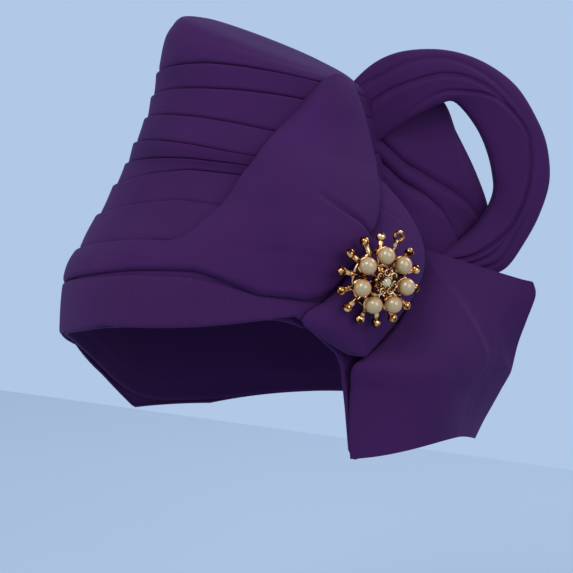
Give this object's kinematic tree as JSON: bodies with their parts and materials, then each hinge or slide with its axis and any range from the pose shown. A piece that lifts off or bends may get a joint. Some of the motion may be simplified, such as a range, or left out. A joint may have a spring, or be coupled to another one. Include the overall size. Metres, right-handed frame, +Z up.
{
  "type": "turban hat with bow and brooch",
  "caption": "Pre-tied turban hat: close cap, front band, tall pleated crown, wrap panel, knot with pearl brooch, upright bow loop and hanging tail.",
  "frame": {"origin": "inside of the cap's top, where the top of the head touches it", "axes": "+Z up; the wearer faces -Y; the wearer's left side, with the knot and the bow, is +X"},
  "size_m": [0.1814, 0.1971, 0.1943],
  "materials": {
    "aubergine_cloth": "matt thick stretch cloth",
    "polished_gold": "polished gold plate",
    "cream_pearl": "pearl lustre",
    "clear_stone": "faceted, foil-backed"
  },
  "bodies": {
    "root": {"base_cap": "aubergine_cloth", "front_band": "aubergine_cloth", "crown": "aubergine_cloth", "wrap_panel": "aubergine_cloth", "knot": "aubergine_cloth", "bow_loop": "aubergine_cloth", "bow_leaf": "aubergine_cloth", "bow_tail": "aubergine_cloth", "brooch_frame": "polished_gold", "brooch_pin": "polished_gold", "centre_stone": "clear_stone", "pearl_1": "cream_pearl", "pearl_2": "cream_pearl", "pearl_3": "cream_pearl", "pearl_4": "cream_pearl", "pearl_5": "cream_pearl", "pearl_6": "cream_pearl", "pearl_7": "cream_pearl"}
  },
  "joints": []
}
